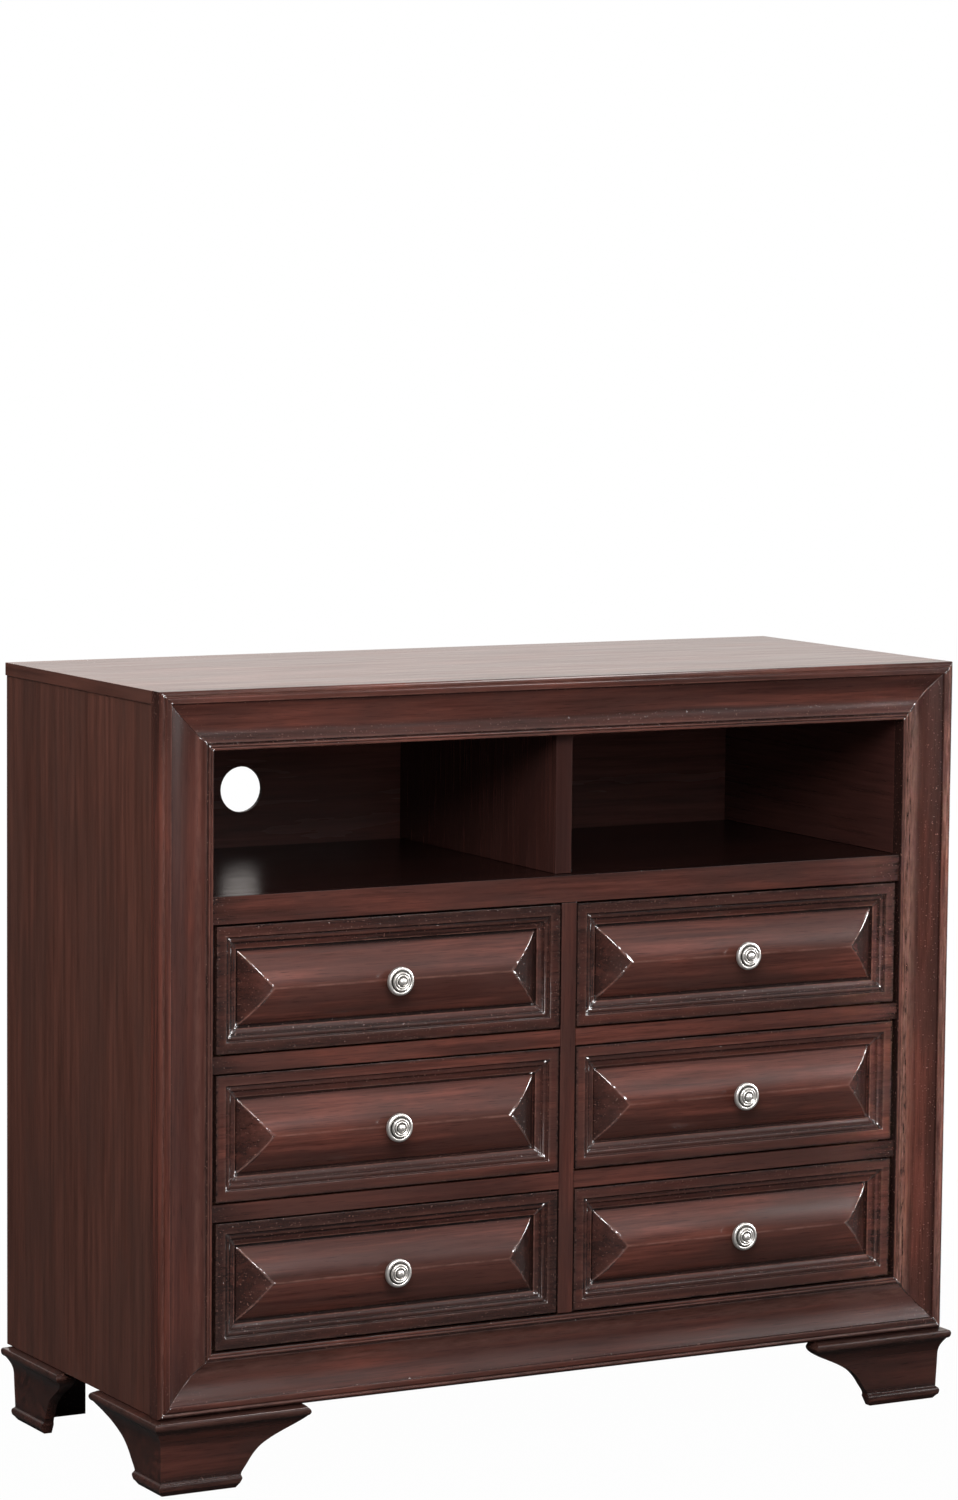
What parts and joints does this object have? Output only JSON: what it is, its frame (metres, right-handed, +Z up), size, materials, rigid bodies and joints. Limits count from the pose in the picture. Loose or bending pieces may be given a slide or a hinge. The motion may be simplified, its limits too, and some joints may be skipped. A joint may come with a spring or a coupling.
{
  "type": "media chest",
  "caption": "Wide chest with a moulded picture-frame front, two open bays over three rows of paired drawers with turned knobs, a cable hole, and bracket feet.",
  "frame": {"origin": "on the floor, under the middle of the overall box", "axes": "+Z up, the drawers open towards -Y, +X to the right of someone facing the front"},
  "size_m": [1.1786, 0.4944, 0.995],
  "materials": {
    "dark_cherry": "dark cherry stain with a darker glaze in the mouldings, under satin lacquer",
    "dark_cherry_side": "plain dark cherry side panels under satin lacquer",
    "dark_cherry_bay": "dark stained bays and back panel, satin",
    "drawer_box_wood": "pale secondary wood under a thin clear coat",
    "brushed_nickel": "antique brushed nickel turned knob"
  },
  "bodies": {
    "carcass": {"top_panel": "dark_cherry", "side_panel_left": "dark_cherry_side", "side_panel_right": "dark_cherry_side", "back_panel": "dark_cherry_bay", "bottom_panel": "drawer_box_wood", "shelf_board": "dark_cherry_bay", "centre_partition": "drawer_box_wood", "bay_divider": "dark_cherry_bay", "bay_liner_left": "dark_cherry_bay", "bay_liner_right": "dark_cherry_bay", "frame_top_rail": "dark_cherry", "frame_bottom_rail": "dark_cherry", "frame_left_stile": "dark_cherry", "frame_right_stile": "dark_cherry", "shelf_front_rail": "dark_cherry", "centre_stile": "dark_cherry", "runner_frame_upper_left": "dark_cherry", "runner_frame_upper_right": "dark_cherry", "runner_frame_lower_left": "dark_cherry", "runner_frame_lower_right": "dark_cherry", "foot_front_left": "dark_cherry", "foot_front_right": "dark_cherry", "foot_back_left": "dark_cherry", "foot_back_right": "dark_cherry"},
    "drawer_left_top": {"drawer_left_top_front": "dark_cherry", "drawer_left_top_side_left": "drawer_box_wood", "drawer_left_top_side_right": "drawer_box_wood", "drawer_left_top_back": "drawer_box_wood", "drawer_left_top_bottom": "drawer_box_wood", "drawer_left_top_knob": "brushed_nickel"},
    "drawer_right_top": {"drawer_right_top_front": "dark_cherry", "drawer_right_top_side_left": "drawer_box_wood", "drawer_right_top_side_right": "drawer_box_wood", "drawer_right_top_back": "drawer_box_wood", "drawer_right_top_bottom": "drawer_box_wood", "drawer_right_top_knob": "brushed_nickel"},
    "drawer_left_middle": {"drawer_left_middle_front": "dark_cherry", "drawer_left_middle_side_left": "drawer_box_wood", "drawer_left_middle_side_right": "drawer_box_wood", "drawer_left_middle_back": "drawer_box_wood", "drawer_left_middle_bottom": "drawer_box_wood", "drawer_left_middle_knob": "brushed_nickel"},
    "drawer_right_middle": {"drawer_right_middle_front": "dark_cherry", "drawer_right_middle_side_left": "drawer_box_wood", "drawer_right_middle_side_right": "drawer_box_wood", "drawer_right_middle_back": "drawer_box_wood", "drawer_right_middle_bottom": "drawer_box_wood", "drawer_right_middle_knob": "brushed_nickel"},
    "drawer_left_bottom": {"drawer_left_bottom_front": "dark_cherry", "drawer_left_bottom_side_left": "drawer_box_wood", "drawer_left_bottom_side_right": "drawer_box_wood", "drawer_left_bottom_back": "drawer_box_wood", "drawer_left_bottom_bottom": "drawer_box_wood", "drawer_left_bottom_knob": "brushed_nickel"},
    "drawer_right_bottom": {"drawer_right_bottom_front": "dark_cherry", "drawer_right_bottom_side_left": "drawer_box_wood", "drawer_right_bottom_side_right": "drawer_box_wood", "drawer_right_bottom_back": "drawer_box_wood", "drawer_right_bottom_bottom": "drawer_box_wood", "drawer_right_bottom_knob": "brushed_nickel"}
  },
  "joints": [
    {"name": "drawer_left_top_slide", "type": "slide", "parent": "carcass", "child": "drawer_left_top", "axis": [0, -1, 0], "range_m": [0, 0.28]},
    {"name": "drawer_right_top_slide", "type": "slide", "parent": "carcass", "child": "drawer_right_top", "axis": [0, -1, 0], "range_m": [0, 0.28]},
    {"name": "drawer_left_middle_slide", "type": "slide", "parent": "carcass", "child": "drawer_left_middle", "axis": [0, -1, 0], "range_m": [0, 0.28]},
    {"name": "drawer_right_middle_slide", "type": "slide", "parent": "carcass", "child": "drawer_right_middle", "axis": [0, -1, 0], "range_m": [0, 0.28]},
    {"name": "drawer_left_bottom_slide", "type": "slide", "parent": "carcass", "child": "drawer_left_bottom", "axis": [0, -1, 0], "range_m": [0, 0.28]},
    {"name": "drawer_right_bottom_slide", "type": "slide", "parent": "carcass", "child": "drawer_right_bottom", "axis": [0, -1, 0], "range_m": [0, 0.28]}
  ]
}
